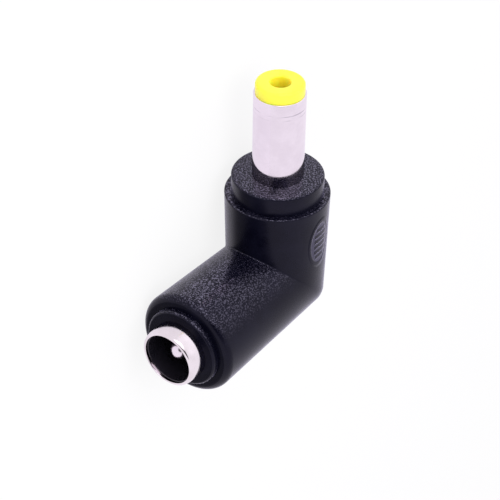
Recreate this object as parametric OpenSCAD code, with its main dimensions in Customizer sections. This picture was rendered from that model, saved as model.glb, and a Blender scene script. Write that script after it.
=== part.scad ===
// Right-angle adaptor: DC barrel plug on one arm, DC jack on the other.
// It lies on its side, plug toward -Y, jack toward +X, and rests on Z = 0.

/* [Elbow body] */
// Radius of both arms where their axes cross
arm_r = 5.4; // [5.2:0.05:5.8]
// Growth of the arm radius for each millimetre toward the ends
arm_draft = 0.024; // [0:0.002:0.04]
// Axis crossing to the shoulder of the plug arm
plug_arm_len = 10.9; // [10.6:0.1:12]
// Axis crossing to the end face of the jack arm
jack_arm_len = 16; // [15.6:0.1:17]
// Depth of the ease across the outer corner
corner_ease = 0.9; // [0.4:0.05:1.2]
// Rounding of the plug arm's shoulder
shoulder_round = 0.2; // [0.1:0.05:0.4]
// Rounding of the jack arm's end
jack_end_round = 0.9; // [0.4:0.05:0.95]

/* [Collars] */
// Radius of the collar at the foot of the plug
plug_collar_r = 4.95; // [4.6:0.05:5.2]
// Height of that collar above the shoulder
plug_collar_h = 2.15; // [1.5:0.05:2.6]
// Radius of the collar round the jack shell
jack_collar_r = 4.4; // [4.1:0.05:4.6]
// Height of that collar above the end face
jack_collar_h = 0.7; // [0.6:0.05:1.4]
// Rounding of the jack collar's front edge
jack_collar_round = 0.3; // [0.1:0.05:0.5]

/* [Barrel plug] */
// Outer diameter of the plug sleeve
barrel_d = 5.5; // [5.45:0.01:5.6]
// Length of the sleeve that shows past the collar
barrel_len = 10.05; // [9.5:0.05:10.6]
// Diameter of the hole for the mating pin
plug_bore_d = 2.14; // [2.1:0.01:2.2]
// Diameter of the yellow head
tip_d = 5.18; // [5:0.02:5.3]
// Length of the yellow head past the metal
tip_len = 1.25; // [0.9:0.05:1.5]

/* [Jack] */
// Outer diameter of the jack shell
shell_d = 6.6; // [6.5:0.02:6.9]
// Inner diameter of the shell's lip
shell_mouth_d = 5.72; // [5.66:0.02:5.8]
// Length of shell that shows past the collar
shell_show = 2.2; // [1.6:0.04:2.4]
// Diameter of the centre pin
pin_d = 2.0; // [1.9:0.05:2.1]
// Depth of the pin's tip below the shell's lip
pin_recess = 1.2; // [0.8:0.1:2.2]

/* [Wiring] */
// Diameter of each wire's core
core_d = 0.9; // [0.7:0.05:0.9]
// Diameter of each wire's insulation
jacket_d = 1.5; // [1.3:0.05:1.6]

/* [Hidden] */
$fn = 96;

body_c = [0.13, 0.12, 0.16];
black_c = [0.08, 0.08, 0.09];
nickel_c = [0.80, 0.77, 0.82];
yellow_c = [0.96, 0.88, 0.30];
tin_c = [0.78, 0.78, 0.76];
bronze_c = [0.72, 0.50, 0.30];
copper_c = [0.80, 0.52, 0.36];
red_c = [0.70, 0.12, 0.10];

// arms
plug_side_end = plug_arm_len - shoulder_round;
plug_side_r = arm_r + arm_draft * plug_side_end;
jack_side_end = jack_arm_len - jack_end_round;
jack_side_r = arm_r + arm_draft * jack_side_end;
past_corner = 7;
corner_r = arm_r - arm_draft * past_corner;
corner_at = sqrt(2) * arm_r / (1 + arm_draft);
ease_r = arm_r + 0.1;
ease_stretch = (corner_at - corner_ease) / ease_r;
rest_z = max(plug_side_r, jack_side_r);
long = 40;

// plug, measured along its axis from the crossing
barrel_r = barrel_d / 2;
barrel_in_r = 2.3;
bore_r = plug_bore_d / 2;
tip_r = tip_d / 2;
collar_top = plug_arm_len + plug_collar_h;
metal_end = collar_top + barrel_len;
tip_end = metal_end + tip_len;
groove_r = 2.55;
groove_to = collar_top - 0.1;
groove_from = groove_to - 0.9;
rim_round = 0.1;
tip_round = 0.35;
collar_round = 0.2;
flange_top = plug_arm_len;
barrel_flange_r = 3.4;
barrel_flange_t = 0.6;
lug_t = 0.4;
lug_front = flange_top - barrel_flange_t;
lug_back = lug_front - lug_t;
insulator_back = lug_back - 0.4;
washer_r = 2.4;
washer_back = insulator_back - 0.5;
contact_r = 1.5;
contact_back = lug_front + 0.2;
contact_end = metal_end - 0.6;
cup_r = 0.85;
cup_mouth = insulator_back - 1.9;
cup_depth = 1.5;
socket_floor = 14;
slit_w = 0.3;
slit_len = 5.5;
mouth_bevel = 0.25;

// jack, measured along its axis from the crossing
shell_r = shell_d / 2;
lining_r = 3.0;
lining_in_r = 2.8;
mouth_r = shell_mouth_d / 2;
collar_front = jack_arm_len + jack_collar_h;
shell_end = collar_front + shell_show;
lip_t = 0.4;
lip_round = 0.14;
lining_end = shell_end - lip_t;
floor_at = 9.2;
floor_t = 1.2;
housing_back = floor_at - floor_t;
shell_flange_r = 3.9;
shell_flange_end = housing_back + 0.6;
disc_t = 0.8;
disc_back = housing_back - disc_t;
pin_r = pin_d / 2;
pin_end = shell_end - pin_recess;
pin_round = 0.5;
pin_neck_r = 0.7;
pin_lug_t = 0.3;
pin_lug_back = disc_back - pin_lug_t;
rivet_r = 1.0;
rivet_t = 0.2;
rivet_back = pin_lug_back - rivet_t;
pin_lug_r = 1.9;

// solder tails, the leaf and the wires between them
tail_w = 1.6;
tail_t = 0.4;
leaf_t = 0.2;
leaf_z = -2.66;
leaf_end = 14.5;
slot_spare = 0.5;
slot_deep = lining_r + 1 + leaf_z;
plug_tail_end = 7.2;
pin_tail_end = 4.6;
pin_tail_y = -1.3;
leaf_tail_end = 4.9;
core_r = core_d / 2;
jacket_r = jacket_d / 2;
solder_film = 0.06;
centre_y = pin_tail_y + core_r + solder_film;
centre_bend = 4.4;
cup_joint_h = 0.45;
centre_jacket_from = cup_mouth - cup_joint_h - 0.15;
centre_jacket_to = pin_tail_end - 0.1;
pin_core_end = rivet_back - 0.1;
sleeve_z = leaf_z + core_r + solder_film;
sleeve_bend = 4.6;
sleeve_jacket_from = plug_tail_end - 0.2;
sleeve_jacket_to = leaf_tail_end - 0.1;
plug_core_end = washer_back - 0.2;
leaf_core_end = disc_back - 0.5;
joint_r = 0.78;
joint_h = 1.35;
joint_round = 0.35;
plug_joint_at = 8;
pin_joint_at = 5.7;
leaf_joint_at = 5.8;

// Lifts the adaptor onto its resting plane, with the origin under the middle
// of its bounding box
module place() {
    mid_x = (shell_end - plug_side_r) / 2;
    mid_y = (jack_side_r - tip_end) / 2;
    translate([-mid_x, -mid_y, rest_z])
        children();
}

// Turned form on the plug's axis
module on_plug() {
    rotate([90, 0, 0])
        children();
}

// Turned form on the jack's axis
module on_jack() {
    rotate([0, 90, 0])
        children();
}

// Rectangle of a turned profile between two radii and two stations
module band(r0, r1, a, b) {
    translate([r0, a])
        square([r1 - r0, b - a]);
}

// Quarter disc that rounds off the corner at radius r1 and station b
module quarter(r1, b, r) {
    intersection() {
        translate([r1 - r, b - r])
            circle(r, $fn = 48);
        band(r1 - r, r1, b - r, b);
    }
}

// Rectangle of a turned profile with its outer corner at b rounded
module round_band(r0, r1, a, b, r) {
    band(r0, r1 - r, a, b);
    band(r0, r1, a, b - r);
    quarter(r1, b, r);
}

// Drafted side of an arm, from beyond the crossing out to a station
module arm_side(at, r) {
    polygon([[0, -past_corner], [corner_r, -past_corner], [r, at], [0, at]]);
}

module plug_arm() {
    on_plug()
        rotate_extrude() {
            arm_side(plug_side_end, plug_side_r);
            band(0, plug_side_r - shoulder_round, 0, plug_arm_len);
            quarter(plug_side_r, plug_arm_len, shoulder_round);
            round_band(0, plug_collar_r, 0, collar_top, collar_round);
        }
}

module jack_arm() {
    on_jack()
        rotate_extrude() {
            arm_side(jack_side_end, jack_side_r);
            band(0, jack_side_r - jack_end_round, 0, jack_arm_len);
            quarter(jack_side_r, jack_arm_len, jack_end_round);
            round_band(0, jack_collar_r, 0, collar_front, jack_collar_round);
        }
}

// Half of space on the plug's side of the mitre plane
module plug_side() {
    rotate([0, 0, -45])
        translate([-long, -2 * long, -long])
            cube([2 * long, 2 * long, 2 * long]);
}

// What lies past an oval round across the mitre's outer corner
module past_ease() {
    rotate([0, 0, 135])
        difference() {
            translate([arm_r / 4, -arm_r, -arm_r])
                cube([2 * arm_r, 2 * arm_r, 2 * arm_r]);
            scale([ease_stretch, 1, 1])
                rotate([90, 0, 0])
                    cylinder(h = 3 * arm_r, r = ease_r, center = true, $fn = 192);
        }
}

module elbow_solid() {
    intersection() {
        plug_arm();
        plug_side();
    }
    difference() {
        jack_arm();
        plug_side();
    }
}

// Room that the plug's turned pieces take up in the moulding
module plug_core() {
    on_plug()
        rotate_extrude() {
            band(0, cup_r, cup_mouth, washer_back);
            band(0, washer_r, washer_back, insulator_back);
            band(0, barrel_in_r, insulator_back, lug_front);
            band(0, barrel_flange_r, lug_back, flange_top);
            band(0, barrel_r, flange_top, groove_from);
            band(0, groove_r, groove_from, groove_to);
            band(0, barrel_r, groove_to, collar_top + 1);
        }
}

// Room that the jack's turned pieces take up in the moulding
module jack_core() {
    on_jack()
        rotate_extrude() {
            band(0, rivet_r, rivet_back, pin_lug_back);
            band(0, pin_lug_r, pin_lug_back, disc_back);
            band(0, shell_r, disc_back, collar_front + 1);
            band(0, shell_flange_r, housing_back, shell_flange_end);
        }
}

// Flat solder tail of the plug's sleeve, below the wire
module plug_tail() {
    translate([-tail_w / 2, -lug_front, leaf_z - tail_t])
        cube([tail_w, lug_front - plug_tail_end, tail_t]);
}

// Flat solder tail of the pin's lug, beside the wire
module pin_tail() {
    translate([pin_tail_end, pin_tail_y - tail_t, -tail_w / 2])
        cube([disc_back - pin_tail_end, tail_t, tail_w]);
}

// Leaf that runs from the solder tail into the jack's lining
module leaf(from, to) {
    translate([from, -tail_w / 2, leaf_z - leaf_t])
        cube([to - from, tail_w, leaf_t]);
}

// Wire round the corner: straight from the plug, a bend, straight to the jack
module wire(r, bend, end_y, from, to) {
    translate([0, end_y - bend, 0])
        rotate([90, 0, 0])
            cylinder(h = from - bend + end_y, r = r, $fn = 32);
    translate([bend, end_y - bend, 0])
        rotate([0, 0, 90])
            rotate_extrude(angle = 90)
                translate([bend, 0])
                    circle(r, $fn = 32);
    translate([bend, end_y, 0])
        rotate([0, 90, 0])
            cylinder(h = to - bend, r = r, $fn = 32);
}

module centre_run(r, from, to) {
    wire(r, centre_bend, centre_y, from, to);
}

module sleeve_run(r, from, to) {
    translate([0, 0, sleeve_z])
        wire(r, sleeve_bend, 0, from, to);
}

// Button of solder on a tail's face, before the wire is taken out of it
module joint_button(p, turn) {
    translate(p)
        rotate(turn)
            rotate_extrude($fn = 48)
                round_band(0, joint_r, 0, joint_h, joint_round);
}

module plug_sleeve_button() {
    joint_button([0, -plug_joint_at, leaf_z], [0, 0, 0]);
}

module jack_sleeve_button() {
    joint_button([leaf_joint_at, 0, leaf_z], [0, 0, 0]);
}

module jack_centre_button() {
    joint_button([pin_joint_at, pin_tail_y, 0], [-90, 0, 0]);
}

// Cone of solder at the mouth of the cup
module cup_cone() {
    on_plug()
        translate([0, 0, cup_mouth - cup_joint_h])
            cylinder(h = cup_joint_h, r1 = core_r + 0.08, r2 = cup_r, $fn = 48);
}

module centre_core() {
    centre_run(core_r, cup_mouth + cup_depth, pin_core_end);
}

module sleeve_core() {
    sleeve_run(core_r, plug_core_end, leaf_core_end);
}

module centre_jacket() {
    centre_run(jacket_r, centre_jacket_from, centre_jacket_to);
}

module sleeve_jacket() {
    sleeve_run(jacket_r, sleeve_jacket_from, sleeve_jacket_to);
}

// ---- the pieces ----

module elbow_body() {
    color(body_c)
        place()
            difference() {
                elbow_solid();
                past_ease();
                plug_core();
                jack_core();
                plug_tail();
                pin_tail();
                leaf(leaf_tail_end, disc_back);
                centre_jacket();
                sleeve_jacket();
                centre_core();
                sleeve_core();
                plug_sleeve_button();
                jack_sleeve_button();
                jack_centre_button();
                cup_cone();
            }
}

module plug_barrel() {
    color(nickel_c)
        place()
            on_plug()
                rotate_extrude() {
                    round_band(barrel_in_r, barrel_r, groove_to, metal_end, rim_round);
                    band(barrel_in_r, groove_r, groove_from, groove_to);
                    band(barrel_in_r, barrel_r, flange_top, groove_from);
                    band(barrel_in_r, barrel_flange_r, lug_front, flange_top);
                }
}

module plug_tip_insulator() {
    color(yellow_c)
        place()
            on_plug()
                rotate_extrude()
                    difference() {
                        union() {
                            round_band(bore_r, tip_r, metal_end, tip_end, tip_round);
                            band(bore_r, barrel_in_r, contact_end, metal_end);
                            band(contact_r, barrel_in_r, contact_back, contact_end);
                            band(cup_r, barrel_in_r, insulator_back, contact_back);
                        }
                        polygon([
                            [bore_r, tip_end - mouth_bevel],
                            [bore_r + mouth_bevel, tip_end],
                            [bore_r, tip_end]
                        ]);
                    }
}

module plug_centre_contact() {
    color(nickel_c)
        place()
            difference() {
                on_plug()
                    rotate_extrude() {
                        band(bore_r, contact_r, socket_floor, contact_end);
                        band(0, contact_r, contact_back, socket_floor);
                        band(0, cup_r, cup_mouth + cup_depth, contact_back);
                        band(core_r, cup_r, cup_mouth, cup_mouth + cup_depth);
                    }
                translate([-slit_w / 2, -contact_end, -contact_r])
                    cube([slit_w, slit_len, 2 * contact_r]);
            }
}

module plug_sleeve_lug() {
    color(nickel_c)
        place() {
            on_plug()
                rotate_extrude()
                    band(barrel_in_r, barrel_flange_r, lug_back, lug_front);
            plug_tail();
        }
}

module plug_rear_washer() {
    color(black_c)
        place()
            on_plug()
                rotate_extrude()
                    band(cup_r, washer_r, washer_back, insulator_back);
}

module jack_shell() {
    color(nickel_c)
        place()
            on_jack()
                rotate_extrude() {
                    band(lining_r, shell_r, housing_back, lining_end);
                    band(lining_r, shell_flange_r, housing_back, shell_flange_end);
                    band(mouth_r, shell_r, lining_end, shell_end - lip_round);
                    band(mouth_r + lip_round, shell_r - lip_round, lining_end, shell_end);
                    translate([mouth_r + lip_round, shell_end - lip_round])
                        circle(lip_round, $fn = 48);
                    translate([shell_r - lip_round, shell_end - lip_round])
                        circle(lip_round, $fn = 48);
                }
}

module jack_housing() {
    color(black_c)
        place()
            difference() {
                on_jack()
                    rotate_extrude() {
                        band(lining_in_r, lining_r, floor_at, lining_end);
                        band(pin_neck_r, lining_r, housing_back, floor_at);
                    }
                translate([housing_back - 1, -tail_w / 2, -lining_r - 1])
                    cube([leaf_end + slot_spare - housing_back + 1, tail_w, slot_deep]);
            }
}

module jack_centre_pin() {
    color(nickel_c)
        place()
            on_jack()
                rotate_extrude() {
                    round_band(0, pin_r, floor_at, pin_end, pin_round);
                    band(0, pin_neck_r, pin_lug_back, floor_at);
                    band(0, rivet_r, rivet_back, pin_lug_back);
                }
}

module jack_spring_contact() {
    color(bronze_c)
        place()
            leaf(leaf_tail_end, leaf_end);
}

module jack_rear_disc() {
    color(black_c)
        place()
            difference() {
                on_jack()
                    rotate_extrude()
                        band(pin_neck_r, shell_r, disc_back, housing_back);
                leaf(leaf_tail_end, leaf_end);
            }
}

module jack_pin_lug() {
    color(nickel_c)
        place() {
            on_jack()
                rotate_extrude()
                    band(pin_neck_r, pin_lug_r, pin_lug_back, disc_back);
            pin_tail();
        }
}

module centre_wire_core() {
    color(copper_c)
        place()
            centre_core();
}

module centre_wire_jacket() {
    color(red_c)
        place()
            difference() {
                centre_jacket();
                centre_core();
            }
}

module sleeve_wire_core() {
    color(copper_c)
        place()
            sleeve_core();
}

module sleeve_wire_jacket() {
    color(black_c)
        place()
            difference() {
                sleeve_jacket();
                sleeve_core();
            }
}

module solder_plug_centre() {
    color(tin_c)
        place()
            difference() {
                cup_cone();
                centre_core();
            }
}

module solder_plug_sleeve() {
    color(tin_c)
        place()
            difference() {
                plug_sleeve_button();
                sleeve_core();
            }
}

module solder_jack_centre() {
    color(tin_c)
        place()
            difference() {
                jack_centre_button();
                centre_core();
            }
}

module solder_jack_sleeve() {
    color(tin_c)
        place()
            difference() {
                jack_sleeve_button();
                sleeve_core();
            }
}

elbow_body();
plug_barrel();
plug_tip_insulator();
plug_centre_contact();
plug_sleeve_lug();
plug_rear_washer();
jack_shell();
jack_housing();
jack_centre_pin();
jack_spring_contact();
jack_rear_disc();
jack_pin_lug();
centre_wire_core();
centre_wire_jacket();
sleeve_wire_core();
sleeve_wire_jacket();
solder_plug_centre();
solder_plug_sleeve();
solder_jack_centre();
solder_jack_sleeve();
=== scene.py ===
"""Looks of a right-angle DC adaptor: a barrel plug on one arm, its jack on the other."""

import logging
import math
from dataclasses import dataclass
from enum import Enum
from typing import Callable, Iterable, Sequence

import bmesh
import bpy
from mathutils import Matrix, Vector


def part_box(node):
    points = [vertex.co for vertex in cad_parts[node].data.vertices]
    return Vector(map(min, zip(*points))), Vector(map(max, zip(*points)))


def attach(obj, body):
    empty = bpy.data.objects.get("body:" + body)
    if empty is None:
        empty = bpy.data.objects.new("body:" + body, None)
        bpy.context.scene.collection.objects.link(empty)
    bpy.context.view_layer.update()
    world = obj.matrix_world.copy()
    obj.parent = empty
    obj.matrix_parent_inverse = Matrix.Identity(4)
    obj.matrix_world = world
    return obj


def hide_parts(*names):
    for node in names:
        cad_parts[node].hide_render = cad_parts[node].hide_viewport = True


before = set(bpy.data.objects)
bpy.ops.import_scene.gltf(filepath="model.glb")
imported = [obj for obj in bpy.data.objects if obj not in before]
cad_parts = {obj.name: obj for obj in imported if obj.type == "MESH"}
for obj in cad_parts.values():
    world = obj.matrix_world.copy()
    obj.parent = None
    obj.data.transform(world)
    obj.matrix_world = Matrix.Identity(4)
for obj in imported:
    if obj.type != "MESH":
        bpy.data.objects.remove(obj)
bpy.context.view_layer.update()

logging.basicConfig(level=logging.INFO, format="%(message)s")
log = logging.getLogger("adaptor")

MM = 0.001
MERGE = 1e-7  # metres; points nearer than this become one
Colour = tuple[float, float, float]
Range = tuple[float, float]
WHITE: Colour = (1.0, 1.0, 1.0)
BMesh = bmesh.types.BMesh
Node = bpy.types.Node
Socket = bpy.types.NodeSocket


# ---------------------------------------------------------------- layout


class Arm(Enum):
    """An arm, by the axis about which a form made on +Z turns onto it."""

    PLUG = "X"
    JACK = "Y"


@dataclass(frozen=True)
class Layout:
    """Where the two axes lie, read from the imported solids.

    Attributes:
        crossing: The point where they cross.
    """

    crossing: Vector

    @classmethod
    def read(cls) -> "Layout":
        """Finds the point where the plug's and the jack's axes cross."""
        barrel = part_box("plug_barrel")
        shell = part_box("jack_shell")
        plug_mid = (barrel[0] + barrel[1]) / 2
        jack_mid = (shell[0] + shell[1]) / 2
        return cls(Vector((plug_mid.x, jack_mid.y, plug_mid.z)))

    def lay(self, bm: BMesh, arm: Arm) -> BMesh:
        """Lays a form made on +Z onto an arm's axis.

        Args:
            bm: The form.
            arm: The arm to lay it on.

        Returns:
            The same mesh, in place.
        """
        place = Matrix.Translation(self.crossing) @ Matrix.Rotation(math.radians(90), 4, arm.value)
        bmesh.ops.transform(bm, matrix=place, verts=bm.verts[:])
        return bm


# ---------------------------------------------------------------- forms


@dataclass(frozen=True)
class Corner:
    """One corner of a turned section, in millimetres.

    Attributes:
        radius: Distance from the axis.
        along: Station along the axis, from the crossing.
        rounding: Set-back of the corner's rounding along both of its edges.
        steps: Segments of that rounding.
    """

    radius: float
    along: float
    rounding: float = 0.0
    steps: int = 4


def lathe(section: Sequence[Corner], around: int = 128, closed: bool = False) -> BMesh:
    """Turns a section about +Z.

    Args:
        section: The corners in order, in millimetres.
        around: Steps in the full turn.
        closed: Whether the last corner joins the first.

    Returns:
        A mesh in metres, its doubles merged.
    """
    bm = bmesh.new()
    verts = [bm.verts.new((c.radius * MM, 0.0, c.along * MM)) for c in section]
    pairs = list(zip(verts, verts[1:]))
    if closed:
        pairs.append((verts[-1], verts[0]))
    for a, b in pairs:
        bm.edges.new((a, b))
    for vert, corner in zip(verts, section):
        if corner.rounding > 0:
            bmesh.ops.bevel(
                bm, geom=[vert], offset=corner.rounding * MM, offset_type="OFFSET",
                affect="VERTICES", segments=corner.steps, profile=0.5, material=-1,
            )
    bmesh.ops.spin(
        bm, geom=bm.verts[:] + bm.edges[:], cent=(0, 0, 0), axis=(0, 0, 1),
        angle=math.tau, steps=around, use_merge=True, use_duplicate=False,
    )
    bmesh.ops.remove_doubles(bm, verts=bm.verts[:], dist=MERGE)
    bmesh.ops.dissolve_degenerate(bm, edges=bm.edges[:], dist=1e-8)
    bmesh.ops.recalc_face_normals(bm, faces=bm.faces[:])
    return bm


def placed(name: str, data: bpy.types.ID) -> bpy.types.Object:
    """Puts new data into the scene.

    Args:
        name: The object's name.
        data: Its mesh, lamp or camera data.

    Returns:
        The new object.
    """
    thing = bpy.data.objects.new(name, data)
    bpy.context.scene.collection.objects.link(thing)
    return thing


def bevelled(bm: BMesh, size: float, steps: int) -> BMesh:
    """Rounds the edges of a mesh by their bevel weights.

    Args:
        bm: The mesh, with weights on its edges; it is freed.
        size: Offset at a weight of 1, in millimetres.
        steps: Segments of each rounding.

    Returns:
        The rounded mesh.
    """
    mesh = bpy.data.meshes.new("blank")
    bm.to_mesh(mesh)
    bm.free()
    blank = placed("blank", mesh)
    ease = blank.modifiers.new("ease", "BEVEL")
    ease.limit_method = "WEIGHT"
    ease.offset_type = "OFFSET"
    ease.width = size * MM
    ease.segments = steps
    ease.use_clamp_overlap = False
    ease.loop_slide = True
    whole = bmesh.new()
    whole.from_object(blank, bpy.context.evaluated_depsgraph_get())
    bpy.data.objects.remove(blank)
    bpy.data.meshes.remove(mesh)
    for layer in list(whole.edges.layers.float):
        whole.edges.layers.float.remove(layer)
    bmesh.ops.remove_doubles(whole, verts=whole.verts[:], dist=MERGE)
    bmesh.ops.recalc_face_normals(whole, faces=whole.faces[:])
    return whole


def merged(parts: Iterable[BMesh]) -> BMesh:
    """Puts several meshes into one and frees them.

    Args:
        parts: The meshes.

    Returns:
        One mesh that holds them all.
    """
    whole = bmesh.new()
    for part in parts:
        mesh = bpy.data.meshes.new("part")
        part.to_mesh(mesh)
        part.free()
        whole.from_mesh(mesh)
        bpy.data.meshes.remove(mesh)
    return whole


def finished(
    name: str,
    bm: BMesh,
    material: bpy.types.Material,
    nodes: Sequence[str],
    sharp_deg: float = 40.0,
) -> bpy.types.Object:
    """Makes an object of a mesh, dresses it and ties it to the adaptor.

    Args:
        name: The piece's name.
        bm: Its mesh, in place; it is freed.
        material: Its finish.
        nodes: The solids that it stands for.
        sharp_deg: Edges sharper than this stay sharp.

    Returns:
        The new object.
    """
    for face in bm.faces:
        face.smooth = True
    for edge in bm.edges:
        edge.smooth = len(edge.link_faces) != 2 or edge.calc_face_angle(0) < math.radians(sharp_deg)
    mesh = bpy.data.meshes.new(name)
    bm.to_mesh(mesh)
    triangles = len(bm.calc_loop_triangles())
    open_edges = sum(len(edge.link_faces) != 2 for edge in bm.edges)
    bm.free()
    piece = placed(name, mesh)
    mesh.materials.append(material)
    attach(piece, "root")
    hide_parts(*nodes)
    log.info("%s: %d triangles, %d open edges", name, triangles, open_edges)
    return piece


# ---------------------------------------------------------------- finishes


class Canvas:
    """A node tree with short calls for adding and joining nodes."""

    def __init__(self, tree: bpy.types.NodeTree) -> None:
        """Wraps a tree.

        Args:
            tree: The tree to add to.
        """
        self.tree = tree

    def add(
        self, kind: str, sockets: dict[str | int, object] | None = None, **props: object
    ) -> Node:
        """Adds a node.

        Args:
            kind: Its Blender type.
            sockets: Values or source sockets for its inputs.
            **props: Its properties.

        Returns:
            The node.
        """
        node = self.tree.nodes.new(kind)
        for key, value in props.items():
            setattr(node, key, value)
        self.feed(node, sockets or {})
        return node

    def feed(self, node: Node, sockets: dict[str | int, object]) -> None:
        """Sets a node's inputs or joins them to their sources.

        Args:
            node: The node.
            sockets: Values or source sockets for its inputs.
        """
        for key, value in sockets.items():
            if isinstance(value, Socket):
                self.tree.links.new(value, node.inputs[key])
            else:
                node.inputs[key].default_value = value

    def math(self, operation: str, *values: object) -> Socket:
        """Adds a Math node.

        Args:
            operation: Its operation.
            *values: Numbers or sockets, in order.

        Returns:
            Its output.
        """
        return self.add("ShaderNodeMath", dict(enumerate(values)), operation=operation).outputs[0]

    def blend(self, mask: Socket, low: object, high: object) -> Socket:
        """Adds a colour mix.

        Args:
            mask: The factor.
            low: Colour at 0.
            high: Colour at 1.

        Returns:
            The mixed colour.
        """
        return self.add("ShaderNodeMix", {0: mask, 6: low, 7: high}, data_type="RGBA").outputs[2]

    def bump(self, height: Socket, depth_mm: float, strength: object = 1.0, **more: object) -> Socket:
        """Adds relief.

        Args:
            height: Its height, from 0 to 1.
            depth_mm: Its depth.
            strength: Its strength, a number or a socket.
            **more: Values or source sockets for other inputs.

        Returns:
            The normal.
        """
        sockets = {"Strength": strength, "Distance": depth_mm * MM, "Height": height, **more}
        return self.add("ShaderNodeBump", sockets).outputs[0]

    def lean(self, way: Socket, heading: tuple[float, float, float]) -> Socket:
        """Adds how closely a way follows a heading.

        Args:
            way: The way, a unit vector.
            heading: The heading.

        Returns:
            Their dot product.
        """
        node = self.add("ShaderNodeVectorMath", {0: way, 1: heading}, operation="DOT_PRODUCT")
        return node.outputs["Value"]

    def ramp(
        self, value: Socket, low: float, high: float, to_low: float, to_high: float
    ) -> Socket:
        """Adds a smooth remap of one range onto another.

        Args:
            value: The input.
            low: Input at which the result is to_low.
            high: Input at which the result is to_high.
            to_low: Lower result.
            to_high: Upper result.

        Returns:
            The remapped value.
        """
        sockets = {0: value, 1: low, 2: high, 3: to_low, 4: to_high}
        return self.add("ShaderNodeMapRange", sockets, interpolation_type="SMOOTHSTEP").outputs[0]


def rgba(colour: Colour) -> tuple[float, float, float, float]:
    """Adds an alpha of 1 to a colour."""
    return (*colour, 1.0)


def blank_finish(name: str) -> tuple[bpy.types.Material, Canvas, Node]:
    """Makes a material with its one shader.

    Args:
        name: The material's name.

    Returns:
        The material, a canvas on its tree, and its shader.
    """
    material = bpy.data.materials.new(name)
    material.use_nodes = True
    return material, Canvas(material.node_tree), material.node_tree.nodes["Principled BSDF"]


Fill = Callable[[Canvas, Node, Node], None]


def group(name: str, inputs: dict[str, float], outputs: Sequence[str], fill: Fill) -> bpy.types.NodeTree:
    """Makes a shared shader group once.

    Args:
        name: The group's name.
        inputs: Value inputs with their defaults.
        outputs: Names of its value outputs.
        fill: Called with the canvas, the group input and the group output.

    Returns:
        The group, new or already made.
    """
    if name in bpy.data.node_groups:
        return bpy.data.node_groups[name]
    tree = bpy.data.node_groups.new(name, "ShaderNodeTree")
    for key, value in inputs.items():
        socket = tree.interface.new_socket(key, in_out="INPUT", socket_type="NodeSocketFloat")
        socket.default_value = value
    for key in outputs:
        tree.interface.new_socket(key, in_out="OUTPUT", socket_type="NodeSocketFloat")
    canvas = Canvas(tree)
    source = canvas.add("NodeGroupInput")
    sink = canvas.add("NodeGroupOutput")
    fill(canvas, source, sink)
    return tree


GRAIN_WIDE = 0.31  # scale of the wide grain, against the fine one's
GRAIN_SHARES = (0.7, 0.3)  # shares of fine and wide grain in the height
SPECK_BAND = (0.49, 0.61)  # fine grain between which the specks come up
DRIFT_BAND = (0.35, 0.65)  # noise between which the drift's mask comes up


def grain_group() -> bpy.types.NodeTree:
    """Fine pitted grain of a spark-eroded mould.

    Returns:
        A group that puts out a height and a speck mask.
    """

    def fill(c: Canvas, source: Node, sink: Node) -> None:
        """Adds two sizes of grain."""
        place = c.add("ShaderNodeTexCoord").outputs["Object"]
        fine = c.add(
            "ShaderNodeTexNoise",
            {"Vector": place, "Scale": source.outputs["Scale"], "Detail": 2.0, "Roughness": 0.6},
        )
        wide_scale = c.math("MULTIPLY", source.outputs["Scale"], GRAIN_WIDE)
        wide = c.add("ShaderNodeTexNoise", {"Vector": place, "Scale": wide_scale, "Detail": 1.0})
        fine_part = c.math("MULTIPLY", fine.outputs[0], GRAIN_SHARES[0])
        wide_part = c.math("MULTIPLY", wide.outputs[0], GRAIN_SHARES[1])
        specks = c.ramp(fine.outputs[0], *SPECK_BAND, 0.0, 1.0)
        c.feed(sink, {"Height": c.math("ADD", fine_part, wide_part), "Specks": specks})

    return group("grain", {"Scale": 9000.0}, ["Height", "Specks"], fill)


def drift_group() -> bpy.types.NodeTree:
    """Slow change of tone over a surface, from handling and flow.

    Returns:
        A group that puts out a mask and a roughness.
    """

    def fill(c: Canvas, source: Node, sink: Node) -> None:
        """Adds one wide noise and remaps it."""
        place = c.add("ShaderNodeTexCoord").outputs["Object"]
        noise = c.add(
            "ShaderNodeTexNoise",
            {"Vector": place, "Scale": source.outputs["Scale"], "Detail": 4.0, "Roughness": 0.55},
        )
        mask = c.ramp(noise.outputs[0], *DRIFT_BAND, 0.0, 1.0)
        span = c.math("SUBTRACT", source.outputs["Rough high"], source.outputs["Rough low"])
        rough = c.math("MULTIPLY_ADD", mask, span, source.outputs["Rough low"])
        c.feed(sink, {"Mask": mask, "Roughness": rough})

    inputs = {"Scale": 300.0, "Rough low": 0.3, "Rough high": 0.4}
    return group("drift", inputs, ["Mask", "Roughness"], fill)


def add_grain(c: Canvas, grain_mm: float) -> Node:
    """Adds the grain to a finish.

    Args:
        c: The finish's canvas.
        grain_mm: Size of the grain.

    Returns:
        The group's node.
    """
    return c.add("ShaderNodeGroup", {"Scale": 1.0 / (grain_mm * MM)}, node_tree=grain_group())


def add_drift(c: Canvas, rough: Range, scale: float = 300.0) -> Node:
    """Adds the drift to a finish.

    Args:
        c: The finish's canvas.
        rough: Lowest and highest roughness.
        scale: Scale of its noise, per metre.

    Returns:
        The group's node.
    """
    sockets = {"Scale": scale, "Rough low": rough[0], "Rough high": rough[1]}
    return c.add("ShaderNodeGroup", sockets, node_tree=drift_group())


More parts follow.
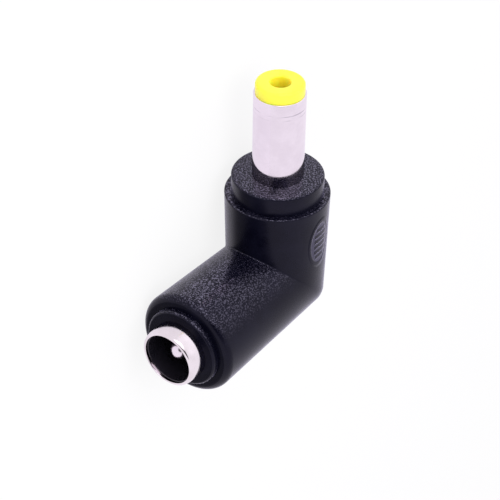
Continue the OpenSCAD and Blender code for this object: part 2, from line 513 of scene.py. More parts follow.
def axis_place(c: Canvas, crossing: Vector) -> tuple[Socket, ...]:
    """Adds coordinates in millimetres from the crossing of the two axes.

    Args:
        c: The canvas.
        crossing: Where the axes cross.

    Returns:
        Distances along the jack's axis, along the plug's axis and up.
    """
    place = c.add("ShaderNodeTexCoord").outputs["Object"]
    local = c.add("ShaderNodeVectorMath", {0: place, 1: crossing}, operation="SUBTRACT")
    parts = c.add("ShaderNodeSeparateXYZ", {0: local.outputs[0]}).outputs
    return (
        c.math("MULTIPLY", parts[0], 1 / MM),
        c.math("MULTIPLY", parts[1], -1 / MM),
        c.math("MULTIPLY", parts[2], 1 / MM),
    )


def plate_group(crossing: Vector) -> bpy.types.NodeTree:
    """Oval plate with plain bars, raised on the side of the plug's arm.

    Args:
        crossing: Where the two axes cross.

    Returns:
        A group that puts out the plate's mask and the raised marks' mask.
    """

    def fill(c: Canvas, source: Node, sink: Node) -> None:
        """Adds the oval and its bars in unrolled coordinates."""
        x, along, z = axis_place(c, crossing)
        turn = c.math("SUBTRACT", c.math("ARCTAN2", z, x), math.radians(PLATE.turn_deg))
        across = c.math("MULTIPLY", turn, PLATE.arm_r)
        down = c.math("SUBTRACT", along, PLATE.station)
        wide = c.math("POWER", c.math("DIVIDE", c.math("ABSOLUTE", across), PLATE.half_wide), 2.0)
        long = c.math("POWER", c.math("DIVIDE", c.math("ABSOLUTE", down), PLATE.half_long), 2.0)
        oval = c.math("SQRT", c.math("ADD", wide, long))
        plate = c.ramp(oval, *PLATE.edge, 1.0, 0.0)
        marks = c.math("MULTIPLY", c.ramp(oval, *PLATE.rim, 0.0, 1.0), plate)
        for at, half_wide, half_tall in PLATE.bars:
            wide = c.ramp(c.math("ABSOLUTE", across), half_wide, half_wide + PLATE.soft, 1.0, 0.0)
            gap = c.math("ABSOLUTE", c.math("SUBTRACT", down, at))
            tall = c.ramp(gap, half_tall, half_tall + PLATE.soft, 1.0, 0.0)
            marks = c.math("MAXIMUM", marks, c.math("MULTIPLY", wide, tall))
        c.feed(sink, {"Plate": plate, "Marks": marks})

    return group("plate", {}, ["Plate", "Marks"], fill)


@dataclass(frozen=True)
class Plate:
    """Place and size of the raised oval, in millimetres on the arm's side.

    Attributes:
        station: Its middle, from the crossing along the plug's axis.
        turn_deg: Its turn round that axis, from the jack's side.
        arm_r: Radius of the arm there.
        half_wide: Half its width round the arm.
        half_long: Half its length along the arm.
        edge: Share of the oval's size between which the plate ends.
        rim: Share of that size between which its raised border begins.
        soft: Width of the slope at a bar's edge.
        bars: Place, half width and half height of each plain bar on it.
    """

    station: float = 6.35
    turn_deg: float = 93.0
    arm_r: float = 5.55
    half_wide: float = 1.85
    half_long: float = 3.1
    edge: Range = (0.94, 1.06)
    rim: Range = (0.78, 0.86)
    soft: float = 0.08
    bars: tuple[tuple[float, float, float], ...] = (
        (1.75, 0.7, 0.17), (1.05, 0.95, 0.17), (0.35, 0.95, 0.17),
        (-0.35, 0.95, 0.17), (-1.05, 0.95, 0.17), (-1.75, 0.7, 0.17),
    )


PLATE = Plate()


@dataclass(frozen=True)
class Moulding:
    """The elbow's black plastic: smooth sides, grained tops that sparkle, partly through glints painted
    into the base colour where faces turn to the plug's end, and a raised plate.

    Attributes:
        name: The material's name.
        deep: Its tone where it is clean.
        light: Its tone where the drift lightens it.
        dust_and_painted_glint: Dusty tone of the plate's ground, also used as painted glints on the specks
            of grain that faces the plug's end.
        rough: Lowest and highest roughness.
        specular: Strength of its reflections on the smooth sides.
        grain_specular: The same on the grained round of the jack's arm.
        flat_specular: The same on the grained flats.
        sparkle: Share of that shine in the grain's pits and on its specks.
        grained_lean: Lean to the plug's end between which the grain sets in.
        flat_lean: Lean between which a face counts as flat to the plug's end.
        front_lean: Lean to the jack's end between which a face counts as its front.
        front_shine: Share of the shine that the jack's front keeps.
        mirrored_shine: Share of the shine that is left in its mirror image.
        painted_glint: Share of that tone painted as glints on the specks, where faces turn to the plug's
            end.
        plate_dust: Share of the dusty tone on the plate's ground.
        side_grain: Least strength of the grain.
        flat_grain: Share of the grain's strength that the flats keep.
        flat_rough: Share of the roughness that the flats keep.
        grain_mm: Size of the grain.
        grain_depth_mm: Depth of the grain.
        plate_mm: Height of the plate's marks.
        shine_tint: Tint of its reflections.
        sheen: Strength of its soft edge light.
        sheen_rough: Roughness of that light.
        sheen_tint: Tint of that light.
    """

    name: str = "moulding"
    deep: Colour = (0.001, 0.001, 0.004)
    light: Colour = (0.003, 0.003, 0.008)
    dust_and_painted_glint: Colour = (0.13, 0.12, 0.19)
    rough: Range = (0.24, 0.32)
    specular: float = 0.2
    grain_specular: float = 0.42
    flat_specular: float = 0.8
    sparkle: Range = (0.2, 3.0)
    grained_lean: Range = (0.3, 0.95)
    flat_lean: Range = (0.93, 0.99)
    front_lean: Range = (0.9, 0.99)
    front_shine: float = 0.2
    mirrored_shine: float = 0.15
    painted_glint: float = 0.1
    plate_dust: float = 0.3
    side_grain: float = 0.1
    flat_grain: float = 0.35
    flat_rough: float = 0.6
    grain_mm: float = 0.17
    grain_depth_mm: float = 0.04
    plate_mm: float = 0.07
    shine_tint: Colour = (0.8, 0.77, 1.0)
    sheen: float = 0.38
    sheen_rough: float = 0.25
    sheen_tint: Colour = (0.72, 0.68, 1.0)

    def build(self, crossing: Vector) -> bpy.types.Material:
        """Makes the material.

        Args:
            crossing: Where the two axes cross.
        """
        material, c, shader = blank_finish(self.name)
        grain = add_grain(c, self.grain_mm)
        drift = add_drift(c, self.rough)
        plate = c.add("ShaderNodeGroup", node_tree=plate_group(crossing))
        normal = c.add("ShaderNodeNewGeometry").outputs["True Normal"]
        lean = c.lean(normal, (0.0, -1.0, 0.0))
        curved = c.ramp(lean, *self.grained_lean, 0.0, 1.0)
        flat = c.ramp(lean, *self.flat_lean, 0.0, 1.0)
        flat_grain = c.math("MULTIPLY_ADD", flat, self.flat_grain - 1.0, 1.0)
        flat_rough = c.math("MULTIPLY_ADD", flat, self.flat_rough - 1.0, 1.0)
        coarse = c.math("MAXIMUM", c.math("MULTIPLY", curved, flat_grain), self.side_grain)
        specks = grain.outputs["Specks"]
        sparkle = c.math("MULTIPLY_ADD", specks, self.sparkle[1] - self.sparkle[0], self.sparkle[0])
        rounds = c.math("MULTIPLY", curved, self.grain_specular)
        grained = c.math("MAXIMUM", rounds, c.math("MULTIPLY", flat, self.flat_specular))
        shine = c.math("MAXIMUM", self.specular, c.math("MULTIPLY", grained, sparkle))
        front = c.ramp(c.lean(normal, (1.0, 0.0, 0.0)), *self.front_lean, 1.0, self.front_shine)
        glossy = c.add("ShaderNodeLightPath").outputs["Is Glossy Ray"]
        mirrored = c.math("MULTIPLY_ADD", glossy, self.mirrored_shine - 1.0, 1.0)
        shine = c.math("MULTIPLY", c.math("MULTIPLY", shine, front), mirrored)
        # Painted glints: the dusty tone laid on the grain's specks only where faces turn to the plug's end,
        # standing in for the light that falls there.
        painted_glint = c.math("MULTIPLY", curved, c.math("MULTIPLY", specks, self.painted_glint))
        ground = c.math("SUBTRACT", plate.outputs["Plate"], plate.outputs["Marks"])
        on_plate = c.math("MULTIPLY", c.math("MAXIMUM", ground, 0.0), self.plate_dust)
        colour = c.blend(drift.outputs["Mask"], rgba(self.deep), rgba(self.light))
        fine = c.bump(grain.outputs["Height"], self.grain_depth_mm, coarse)
        c.feed(shader, {
            # Base colour: painted glints on the grain facing the plug's end, and the dusty tone of the
            # plate's ground.
            "Base Color": c.blend(c.math("MAXIMUM", painted_glint, on_plate), colour, rgba(self.dust_and_painted_glint)),
            "Roughness": c.math("MULTIPLY", drift.outputs["Roughness"], flat_rough),
            "Normal": c.bump(plate.outputs["Marks"], self.plate_mm, Normal=fine),
            "Specular IOR Level": shine,
            "Specular Tint": rgba(self.shine_tint),
            "Sheen Weight": self.sheen,
            "Sheen Roughness": self.sheen_rough,
            "Sheen Tint": rgba(self.sheen_tint),
        })
        return material


@dataclass(frozen=True)
class Plastic:
    """A moulded plastic.

    Attributes:
        name: The material's name.
        deep: Its darker tone.
        light: Its lighter tone.
        rough: Lowest and highest roughness.
        grain_mm: Size of the surface's grain.
        grain_depth_mm: Depth of that grain.
        sheen_tint: Tint of its reflections.
        specular: Strength of its reflections.
        soft: Share of light that passes below the surface.
        soft_mm: How far that light reaches.
    """

    name: str
    deep: Colour
    light: Colour
    rough: Range
    grain_mm: float
    grain_depth_mm: float
    sheen_tint: Colour = WHITE
    specular: float = 0.5
    soft: float = 0.0
    soft_mm: float = 0.6

    def build(self) -> bpy.types.Material:
        """Makes the material."""
        material, c, shader = blank_finish(self.name)
        grain = add_grain(c, self.grain_mm)
        drift = add_drift(c, self.rough)
        c.feed(shader, {
            "Base Color": c.blend(drift.outputs["Mask"], rgba(self.deep), rgba(self.light)),
            "Roughness": drift.outputs["Roughness"],
            "Normal": c.bump(grain.outputs["Height"], self.grain_depth_mm),
            "Specular IOR Level": self.specular,
            "Specular Tint": rgba(self.sheen_tint),
        })
        if self.soft:
            c.feed(shader, {"Subsurface Weight": self.soft, "Subsurface Scale": self.soft_mm * MM})
        return material


@dataclass(frozen=True)
class Plating:
    """A plated or bare metal.

    Attributes:
        name: The material's name.
        bright: Its brighter tone.
        dull: Its duller tone.
        rough: Lowest and highest roughness.
        mark_mm: Size of its fine marks.
        mark_depth_mm: Depth of those marks.
        lie: Stretch of the marks along X, Y and Z.
        rings: Places along Y, in metres, of faint rings left by turning.
        ring_mm: Distance from a ring's middle between which it fades.
        ring_tone: Tone of the rings.
        ring_share: Most that a ring darkens.
        ring_breaks: Height of the marks between which a ring breaks up.
        drift_scale: Scale of the slow change of tone, per metre.
    """

    name: str
    bright: Colour
    dull: Colour
    rough: Range
    mark_mm: float = 0.2
    mark_depth_mm: float = 0.001
    lie: tuple[float, float, float] = (1.0, 1.0, 1.0)
    rings: tuple[float, ...] = ()
    ring_mm: Range = (0.03, 0.09)
    ring_tone: Colour = (0.3, 0.27, 0.33)
    ring_share: float = 0.55
    ring_breaks: Range = (0.4, 0.62)
    drift_scale: float = 420.0

    def build(self) -> bpy.types.Material:
        """Makes the material."""
        material, c, shader = blank_finish(self.name)
        drift = add_drift(c, self.rough, self.drift_scale)
        place = c.add("ShaderNodeTexCoord").outputs["Object"]
        turned = c.add("ShaderNodeMapping", {"Vector": place, "Scale": self.lie}).outputs[0]
        noise = {"Vector": turned, "Scale": 1.0 / (self.mark_mm * MM), "Detail": 3.0}
        marks = c.add("ShaderNodeTexNoise", noise).outputs[0]
        colour = c.blend(drift.outputs["Mask"], rgba(self.bright), rgba(self.dull))
        if self.rings:
            along = c.add("ShaderNodeSeparateXYZ", {0: place}).outputs[1]
            broken = c.ramp(marks, *self.ring_breaks, 0.0, self.ring_share)
            near, far = (edge * MM for edge in self.ring_mm)
            for ring in self.rings:
                off = c.math("ABSOLUTE", c.math("SUBTRACT", along, ring))
                line = c.math("MULTIPLY", c.ramp(off, near, far, 1.0, 0.0), broken)
                colour = c.blend(line, colour, rgba(self.ring_tone))
        c.feed(shader, {
            "Metallic": 1.0,
            "Base Color": colour,
            "Roughness": drift.outputs["Roughness"],
            "Normal": c.bump(marks, self.mark_depth_mm),
        })
        return material


class Finishes:
    """Every finish on the adaptor, built once."""

    ring_stations_mm = (21.75, 21.25)  # faint rings turned in the plug's sleeve

    def __init__(self, crossing: Vector) -> None:
        """Builds the materials.

        Args:
            crossing: Where the two axes cross.
        """
        nickel = ((0.88, 0.8, 0.86), (0.82, 0.74, 0.8))
        warm = ((0.88, 0.82, 0.84), (0.8, 0.74, 0.75))
        turned = tuple(crossing.y - at * MM for at in self.ring_stations_mm)
        self.moulding = Moulding().build(crossing)
        self.smooth_black = Plastic(
            "smooth_black", (0.006, 0.006, 0.009), (0.010, 0.009, 0.013), (0.22, 0.3), 0.25, 0.001,
            sheen_tint=(0.9, 0.87, 1.0),
        ).build()
        self.yellow = Plastic(
            "yellow_insulator", (0.9, 0.79, 0.03), (0.92, 0.86, 0.06), (0.3, 0.38), 0.3, 0.002, soft=0.5,
        ).build()
        self.sleeve = Plating(
            "sleeve_plate", *nickel, (0.07, 0.12), 0.25, 0.0006, (0.15, 1.0, 0.15), turned,
        ).build()
        self.shell = Plating("shell_plate", *warm, (0.08, 0.14), 0.25, 0.0008, (1.0, 0.15, 0.15)).build()
        self.nickel = Plating("nickel_plate", *nickel, (0.2, 0.3)).build()
        self.bronze = Plating("spring_bronze", (0.72, 0.46, 0.24), (0.6, 0.36, 0.18), (0.25, 0.35)).build()
        self.copper = Plating("tinned_copper", (0.76, 0.56, 0.44), (0.62, 0.42, 0.3), (0.3, 0.4)).build()
        self.solder = Plating("flowed_solder", (0.7, 0.7, 0.68), (0.55, 0.55, 0.54), (0.22, 0.4)).build()
        self.red = Plastic(
            "red_insulation", (0.35, 0.02, 0.015), (0.45, 0.03, 0.02), (0.4, 0.5), 0.3, 0.002,
        ).build()
        self.black = Plastic(
            "black_insulation", (0.01, 0.01, 0.01), (0.02, 0.02, 0.02), (0.4, 0.5), 0.3, 0.002,
        ).build()


# ---------------------------------------------------------------- the moulded elbow


@dataclass
class Elbow:
    """The overmoulded body with both collars, sizes in millimetres.

    Attributes:
        layout: Where the axes lie.
        arm_r: Radius of both arms at the crossing.
        draft: Growth of that radius per millimetre.
        past: How far each arm is made past the crossing before the mitre cuts it.
        plug_len, plug_round: The plug arm's shoulder and its rounding.
        plug_collar_r, plug_collar_top, plug_collar_round: The plug's collar.
        jack_len, jack_round: The jack arm's end and its rounding.
        jack_collar_r, jack_collar_front, jack_collar_round: The jack's collar.
        around: Steps in the full turn.
        crease_round, crease_deg: Rounding of the mitre's inner crease, and the least
            bend that counts as one.
        corner_round, corner_deg: The same for the outer corner.
        mitre_gap: Gap that closes at the mitre, in metres.
    """

    layout: Layout
    arm_r: float = 5.4
    draft: float = 0.024
    past: float = 7.0
    plug_len: float = 10.9
    plug_round: float = 0.2
    plug_collar_r: float = 4.95
    plug_collar_top: float = 13.05
    plug_collar_round: float = 0.2
    jack_len: float = 16.0
    jack_round: float = 0.9
    jack_collar_r: float = 4.4
    jack_collar_front: float = 16.7
    jack_collar_round: float = 0.3
    around: int = 192
    crease_round: float = 0.12
    corner_round: float = 2.2
    crease_deg: float = 6.0
    corner_deg: float = 2.0
    mitre_gap: float = 2e-6

    def side_r(self, along: float) -> float:
        """Radius of either arm's drafted side at a station.

        Args:
            along: The station, from the crossing.

        Returns:
            The radius there.
        """
        return self.arm_r + self.draft * along

    def side(self, end: float, rounding: float, steps: int) -> list[Corner]:
        """Drafted side of an arm and the rounding at its end.

        Args:
            end: Station of the end face.
            rounding: Radius of the rounding.
            steps: Segments of the rounding.

        Returns:
            The corners, from the open end.
        """
        foot = end - rounding
        return [
            Corner(self.side_r(-self.past), -self.past),
            Corner(self.side_r(foot), foot),
            Corner(self.side_r(foot), end, rounding, steps),
        ]

    def plug_section(self) -> list[Corner]:
        """Section of the plug's arm, from its open end to the axis."""
        plug = BarrelPlug
        return self.side(self.plug_len, self.plug_round, 5) + [
            Corner(self.plug_collar_r, self.plug_len),
            Corner(self.plug_collar_r, self.plug_collar_top, self.plug_collar_round, 5),
            Corner(plug.barrel_r, self.plug_collar_top),
            Corner(plug.barrel_r, plug.groove_to),
            Corner(plug.groove_r, plug.groove_to),
            Corner(plug.groove_r, plug.groove_from),
            Corner(plug.barrel_r, plug.groove_from),
            Corner(plug.barrel_r, plug.flange_front),
            Corner(plug.flange_r, plug.flange_front),
            Corner(plug.flange_r, plug.lug_back),
            Corner(plug.washer_r, plug.lug_back),
            Corner(plug.washer_r, plug.washer_back),
            Corner(plug.cup_r, plug.washer_back),
            Corner(plug.cup_r, plug.cup_mouth),
            Corner(0.0, plug.cup_mouth),
        ]

    def jack_section(self) -> list[Corner]:
        """Section of the jack's arm, from its open end to the axis."""
        jack = Jack
        return self.side(self.jack_len, self.jack_round, 10) + [
            Corner(self.jack_collar_r, self.jack_len),
            Corner(self.jack_collar_r, self.jack_collar_front, self.jack_collar_round, 6),
            Corner(jack.shell_r, self.jack_collar_front),
            Corner(jack.shell_r, jack.flange_front),
            Corner(jack.flange_r, jack.flange_front),
            Corner(jack.flange_r, jack.back),
            Corner(jack.shell_r, jack.back),
            Corner(jack.shell_r, jack.disc_back),
            Corner(jack.lug_r, jack.disc_back),
            Corner(jack.lug_r, jack.lug_back),
            Corner(jack.pin_r, jack.lug_back),
            Corner(jack.pin_r, jack.rivet_back),
            Corner(0.0, jack.rivet_back),
        ]

    def arm(self, section: list[Corner], arm: Arm) -> BMesh:
        """Turns one arm and cuts it at the mitre.

        Args:
            section: Its section.
            arm: The arm it is.

        Returns:
            The arm in place, open at the mitre.
        """
        bm = self.layout.lay(lathe(section, self.around), arm)
        bmesh.ops.bisect_plane(
            bm, geom=bm.verts[:] + bm.edges[:] + bm.faces[:], dist=1e-8,
            plane_co=self.layout.crossing, plane_no=(1, 1, 0),
            clear_outer=arm is Arm.PLUG, clear_inner=arm is Arm.JACK,
        )
        return bm

    def mesh(self) -> BMesh:
        """Joins the two arms at the mitre and rounds the edge where they meet."""
        bm = merged([self.arm(self.plug_section(), Arm.PLUG), self.arm(self.jack_section(), Arm.JACK)])
        bmesh.ops.remove_doubles(bm, verts=bm.verts[:], dist=self.mitre_gap)
        bmesh.ops.recalc_face_normals(bm, faces=bm.faces[:])
        middle = self.layout.crossing
        weight = bm.edges.layers.float.new("bevel_weight_edge")
        eased = 0
        for edge in bm.edges:
            off = max(abs((v.co - middle).dot(Vector((1, 1, 0)))) for v in edge.verts)
            if off > MERGE or not edge.is_manifold:
                continue
            bend = edge.calc_face_angle_signed(0)
            if bend > math.radians(self.corner_deg):
                edge[weight] = math.tan(bend / 2)
                eased += 1
            elif bend < -math.radians(self.crease_deg):
                edge[weight] = self.crease_round / self.corner_round
                eased += 1
        log.info("mitre: %d edges eased", eased)
        return bevelled(bm, self.corner_round, 10)

    def build(self, finishes: Finishes) -> None:
        """Makes the body.

        Args:
            finishes: The adaptor's finishes.
        """
        finished("elbow_moulding", self.mesh(), finishes.moulding, ["elbow_body"], 30)


# ---------------------------------------------------------------- the plug


@dataclass
class BarrelPlug:
    """The male end, radii and stations in millimetres along its axis from the crossing.

    Attributes:
        layout: Where the axes lie.
        flange_back, flange_front, flange_r: The sleeve's flange.
        groove_from, groove_to, groove_r: Its locking groove.
        barrel_r, barrel_in_r, metal_end: Its outside, its inside and its rim.
        tip_r, tip_end: The yellow head.
        bore_r: The hole for the mating pin.
        contact_r, contact_back, contact_end: The contact's seat.
        cup_r, cup_mouth: The solder cup.
        insulator_back, lug_back: Backs of the insulator and of the sleeve's lug.
        washer_r, washer_back: The rear washer.
        rim_round, seam_round, head_round, hole_round: Roundings of the rim, of the
            head's foot and end, and of the hole's edge.
    """

    layout: Layout
    flange_back: float = 10.3
    flange_front: float = 10.9
    groove_from: float = 12.05
    groove_to: float = 12.95
    metal_end: float = 23.1
    tip_end: float = 24.35
    flange_r: float = 3.4
    groove_r: float = 2.55
    barrel_r: float = 2.75
    barrel_in_r: float = 2.3
    tip_r: float = 2.59
    bore_r: float = 1.07
    contact_r: float = 1.5
    contact_back: float = 10.5
    contact_end: float = 22.5
    cup_r: float = 0.85
    cup_mouth: float = 7.6
    insulator_back: float = 9.5
    lug_back: float = 9.9
    washer_r: float = 2.4
    washer_back: float = 9.0
    rim_round: float = 0.1
    seam_round: float = 0.04
    head_round: float = 0.35
    hole_round: float = 0.25

    def sleeve(self) -> BMesh:
        """The plated sleeve with its flange, locking groove and eased rim."""
        section = [
            Corner(self.barrel_in_r, self.flange_back),
            Corner(self.flange_r, self.flange_back),
            Corner(self.flange_r, self.flange_front),
            Corner(self.barrel_r, self.flange_front),
            Corner(self.barrel_r, self.groove_from),
            Corner(self.groove_r, self.groove_from),
            Corner(self.groove_r, self.groove_to),
            Corner(self.barrel_r, self.groove_to),
            Corner(self.barrel_r, self.metal_end, self.rim_round, 5),
            Corner(self.barrel_in_r, self.metal_end),
        ]
        return self.layout.lay(lathe(section, 192, True), Arm.PLUG)

    def tip(self) -> BMesh:
        """The yellow insulator with its rounded head and eased hole."""
        section = [
            Corner(self.cup_r, self.insulator_back),
            Corner(self.barrel_in_r, self.insulator_back),
            Corner(self.barrel_in_r, self.metal_end),
            Corner(self.tip_r, self.metal_end, self.seam_round, 2),
            Corner(self.tip_r, self.tip_end, self.head_round, 10),
            Corner(self.bore_r, self.tip_end, self.hole_round, 6),
            Corner(self.bore_r, self.contact_end),
            Corner(self.contact_r, self.contact_end),
            Corner(self.contact_r, self.contact_back),
            Corner(self.cup_r, self.contact_back),
        ]
        return self.layout.lay(lathe(section, 160, True), Arm.PLUG)

    def build(self, finishes: Finishes) -> None:
        """Makes the plug's visible pieces.

        Args:
            finishes: The adaptor's finishes.
        """
        finished("plug_sleeve", self.sleeve(), finishes.sleeve, ["plug_barrel"])
        finished("plug_tip", self.tip(), finishes.yellow, ["plug_tip_insulator"])


# ---------------------------------------------------------------- the jack


@dataclass
class Jack:
    """The female end, radii and stations in millimetres along its axis from the crossing.

    Attributes:
        layout: Where the axes lie.
        back, front: The shell's back and the front of its lip.
        floor, lining_end, lining_r: The lining's floor, front and outside.
        shell_r, mouth_r: The shell's outside and its mouth.
        pin_r, pin_end, pin_dome: The pin, its end and the rounding of its head.
        neck_r: The pin's neck.
        rivet_back, rivet_round: Its riveted tail.
        lug_r, lug_back, disc_back: The pin's lug, and the back of the rear disc.
        flange_r, flange_front: The shell's flange.
        lip_back, lip_r: Length of the lip and its radius at the front.
        bend_round, lip_round, mouth_round: Roundings where the lip begins, of its
            front and of the mouth's edge.
    """

    layout: Layout
    back: float = 8.0
    floor: float = 9.2
    front: float = 18.9
    lining_end: float = 18.5
    shell_r: float = 3.3
    lining_r: float = 3.0
    mouth_r: float = 2.86
    pin_r: float = 1.0
    pin_end: float = 17.7
    pin_dome: float = 0.9
    neck_r: float = 0.7
    rivet_back: float = 6.7
    rivet_round: float = 0.08
    lug_r: float = 1.9
    lug_back: float = 6.9
    disc_back: float = 7.2
    flange_r: float = 3.9
    flange_front: float = 8.6
    lip_back: float = 0.5
    lip_r: float = 3.14
    bend_round: float = 0.25
    lip_round: float = 0.2
    mouth_round: float = 0.07

    def shell(self) -> BMesh:
        """The plated shell with its rolled lip."""
        section = [
            Corner(self.lining_r, self.back),
            Corner(self.flange_r, self.back),
            Corner(self.flange_r, self.flange_front),
            Corner(self.shell_r, self.flange_front),
            Corner(self.shell_r, self.front - self.lip_back, self.bend_round, 6),
            Corner(self.lip_r, self.front, self.lip_round, 8),
            Corner(self.mouth_r, self.front, self.mouth_round, 4),
            Corner(self.mouth_r, self.lining_end),
            Corner(self.lining_r, self.lining_end),
        ]
        return self.layout.lay(lathe(section, 160, True), Arm.JACK)

    def pin(self) -> BMesh:
        """The centre pin with its domed head and riveted tail."""
        section = [
            Corner(0.0, self.rivet_back),
            Corner(self.pin_r, self.rivet_back, self.rivet_round, 3),
            Corner(self.pin_r, self.lug_back),
            Corner(self.neck_r, self.lug_back),
            Corner(self.neck_r, self.floor),
            Corner(self.pin_r, self.floor),
            Corner(self.pin_r, self.pin_end, self.pin_dome, 12),
            Corner(0.0, self.pin_end),
        ]
        return self.layout.lay(lathe(section, 96), Arm.JACK)

    def build(self, finishes: Finishes) -> None:
        """Makes the jack's visible pieces.

        Args:
            finishes: The adaptor's finishes.
        """
        finished("jack_sleeve", self.shell(), finishes.shell, ["jack_shell"])
        finished("jack_pin", self.pin(), finishes.nickel, ["jack_centre_pin"])


# ---------------------------------------------------------------- solids kept as they are


def dress_solids(finishes: Finishes) -> None:
    """Gives each solid that is kept its own finish.

    Args:
        finishes: The adaptor's finishes.
    """
    plan = (
        (finishes.smooth_black, ("jack_housing", "jack_rear_disc", "plug_rear_washer")),
        (finishes.nickel, ("plug_centre_contact", "plug_sleeve_lug", "jack_pin_lug")),
        (finishes.bronze, ("jack_spring_contact",)),
        (finishes.copper, ("centre_wire_core", "sleeve_wire_core")),
        (finishes.red, ("centre_wire_jacket",)),
        (finishes.black, ("sleeve_wire_jacket",)),
        (finishes.solder, (
            "solder_plug_centre", "solder_plug_sleeve", "solder_jack_centre", "solder_jack_sleeve",
        )),
    )
    for material, names in plan:
        for name in names:
            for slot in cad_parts[name].material_slots:
                slot.material = material
            log.info("%s: finish %s", name, material.name)


# ---------------------------------------------------------------- the studio


@dataclass(frozen=True)
class Viewpoint:
    """The camera, told as one looks at the adaptor with its plug upright.

    Attributes:
        swing_deg: Turn of the jack's axis away from the line of sight.
        rise_deg: Height of the eye above the jack's level.
        roll_deg: Small roll of the camera.
        distance_mm: Distance from the crossing.
        aim_right_mm: How far right of the crossing the camera stands.
        aim_up_mm: How far above the crossing the camera stands.
        lens_mm: Focal length.
        sensor_mm: Width of the sensor.
        clip_m: Nearest and furthest that it sees, in metres.
    """

    swing_deg: float = 36.26
    rise_deg: float = 37.31
    roll_deg: float = 0.92
    distance_mm: float = 191.4
    aim_right_mm: float = -2.773
    aim_up_mm: float = 2.251
    lens_mm: float = 125.37
    sensor_mm: float = 36.0
    clip_m: Range = (0.005, 10.0)

    def build(self, crossing: Vector) -> None:
        """Makes the camera.

        Args:
            crossing: Where the two axes cross.
        """
        swing, rise, roll = (math.radians(v) for v in (self.swing_deg, self.rise_deg, self.roll_deg))
        back = Vector((math.cos(swing) * math.cos(rise), -math.sin(rise), math.sin(swing) * math.cos(rise)))
        level = Vector((-math.sin(swing), 0.0, math.cos(swing)))
        upright = back.cross(level)
        right = math.cos(roll) * level + math.sin(roll) * upright
        up = math.cos(roll) * upright - math.sin(roll) * level
        spot = crossing + MM * (self.distance_mm * back + self.aim_right_mm * right + self.aim_up_mm * up)
        data = bpy.data.cameras.new("camera")
        data.lens = self.lens_mm
        data.sensor_width = self.sensor_mm
        data.clip_start, data.clip_end = self.clip_m
        camera = placed("camera", data)
        turn = Matrix((right, up, back)).transposed().to_4x4()
        camera.matrix_world = Matrix.Translation(spot) @ turn
        bpy.context.scene.camera = camera


@dataclass(frozen=True)
class Lamp:
    """A soft square lamp.

    Attributes:
        name: Its name.
        spot_mm: Where it stands.
        size_mm: Its side.
        watts: Its power.
        tint: Its colour.
    """

    name: str
    spot_mm: tuple[float, float, float]
    size_mm: float
    watts: float
    tint: Colour = WHITE

    def build(self) -> None:
        """Makes the lamp, turned towards the adaptor."""
        data = bpy.data.lights.new(self.name, "AREA")
        data.shape = "SQUARE"
        data.size = self.size_mm * MM
        data.energy = self.watts
        data.color = self.tint
        lamp = placed(self.name, data)
        spot = Vector(self.spot_mm) * MM
        lamp.location = spot
        lamp.rotation_mode = "QUATERNION"
        lamp.rotation_quaternion = spot.to_track_quat("Z", "Y")
        lamp.visible_glossy = False


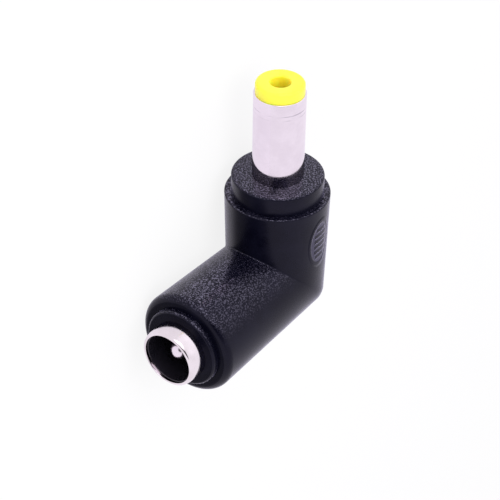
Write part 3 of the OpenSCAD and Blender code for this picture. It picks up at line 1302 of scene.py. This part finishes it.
@dataclass
class Studio:
    """Floor, surroundings, lamps and camera.

    Attributes:
        layout: Where the axes lie.
        floor_mm: Side of the floor.
        floor_tone, floor_rough, floor_specular: Its finish under the lamps.
        floor_glow: Share of plain white in what the floor shows to the camera and to shine.
        floor_tint: Tint of the floor in reflections.
        surround: Light of the surroundings.
        dim: Their light behind the camera.
        front, front_zone: Way to that darker part, and the closeness to it between
            which the light falls off.
        window, window_zone, gain: The same for a brighter part, and what it adds.
        overhead, overhead_zone, overhead_gain: The same for the lamp above the plug.
        tint: Tint of the surroundings.
    """

    layout: Layout
    floor_mm: float = 3000.0
    floor_tone: Colour = (0.8, 0.8, 0.8)
    floor_rough: float = 0.9
    floor_specular: float = 0.1
    floor_glow: float = 0.85
    floor_tint: Colour = (0.95, 0.91, 1.0)
    surround: float = 1.0
    dim: float = 0.06
    front: tuple[float, float, float] = (0.62, -0.5, 0.6)
    front_zone: Range = (0.8, 0.94)
    window: tuple[float, float, float] = (-0.64, -0.61, 0.47)
    window_zone: Range = (0.7, 0.95)
    gain: float = 0.15
    overhead: tuple[float, float, float] = (0.3, -0.88, 0.37)
    overhead_zone: Range = (0.86, 0.98)
    overhead_gain: float = 2.0
    tint: Colour = (0.96, 0.93, 1.0)

    def floor(self) -> None:
        """Makes the pale floor, which keeps the adaptor's shadow."""
        bm = bmesh.new()
        bmesh.ops.create_grid(bm, x_segments=1, y_segments=1, size=self.floor_mm / 2 * MM)
        mesh = bpy.data.meshes.new("floor")
        bm.to_mesh(mesh)
        bm.free()
        piece = placed("floor", mesh)
        material, c, shader = blank_finish("pale_floor")
        c.feed(shader, {
            "Base Color": rgba(self.floor_tone),
            "Roughness": self.floor_rough,
            "Specular IOR Level": self.floor_specular,
        })
        ray = c.add("ShaderNodeLightPath")
        tone = c.blend(ray.outputs["Is Glossy Ray"], rgba(WHITE), rgba(self.floor_tint))
        glow = c.add("ShaderNodeEmission", {"Color": tone, "Strength": 1.0})
        seen = c.math("MAXIMUM", ray.outputs["Is Camera Ray"], ray.outputs["Is Glossy Ray"])
        share = c.math("MULTIPLY", seen, self.floor_glow)
        mix = c.add("ShaderNodeMixShader", {0: share, 1: shader.outputs[0], 2: glow.outputs[0]})
        c.feed(c.tree.nodes["Material Output"], {0: mix.outputs[0]})
        mesh.materials.append(material)

    def world(self) -> None:
        """Makes the surroundings, plain white to the camera."""
        world = bpy.data.worlds.new("surroundings")
        world.use_nodes = True
        bpy.context.scene.world = world
        c = Canvas(world.node_tree)
        ray = c.add("ShaderNodeLightPath")
        seen = c.math("MAXIMUM", ray.outputs["Is Camera Ray"], ray.outputs["Is Transmission Ray"])
        way = c.add("ShaderNodeTexCoord").outputs["Generated"]
        room = c.ramp(c.lean(way, self.front), *self.front_zone, self.surround, self.dim)
        window = c.ramp(c.lean(way, self.window), *self.window_zone, 0.0, self.gain)
        above = c.ramp(c.lean(way, self.overhead), *self.overhead_zone, 0.0, self.overhead_gain)
        room = c.math("ADD", c.math("ADD", room, window), above)
        strength = c.add("ShaderNodeMix", {0: seen, 2: room, 3: 1.0}, data_type="FLOAT").outputs[0]
        tint = c.blend(seen, rgba(self.tint), rgba(WHITE))
        c.feed(world.node_tree.nodes["Background"], {"Color": tint, "Strength": strength})

    def build(self) -> None:
        """Makes the whole studio."""
        scene = bpy.context.scene
        scene.view_settings.view_transform = "Standard"
        self.floor()
        self.world()
        for lamp in (
            Lamp("key", (60.0, -140.0, 220.0), 160.0, 0.35),
            Lamp("fill", (220.0, 60.0, 120.0), 200.0, 0.12),
        ):
            lamp.build()
        Viewpoint().build(self.layout.crossing)


def main() -> None:
    """Builds the adaptor and its studio."""
    layout = Layout.read()
    finishes = Finishes(layout.crossing)
    Studio(layout).build()
    Elbow(layout).build(finishes)
    BarrelPlug(layout).build(finishes)
    Jack(layout).build(finishes)
    dress_solids(finishes)


if __name__ == "__main__":
    main()
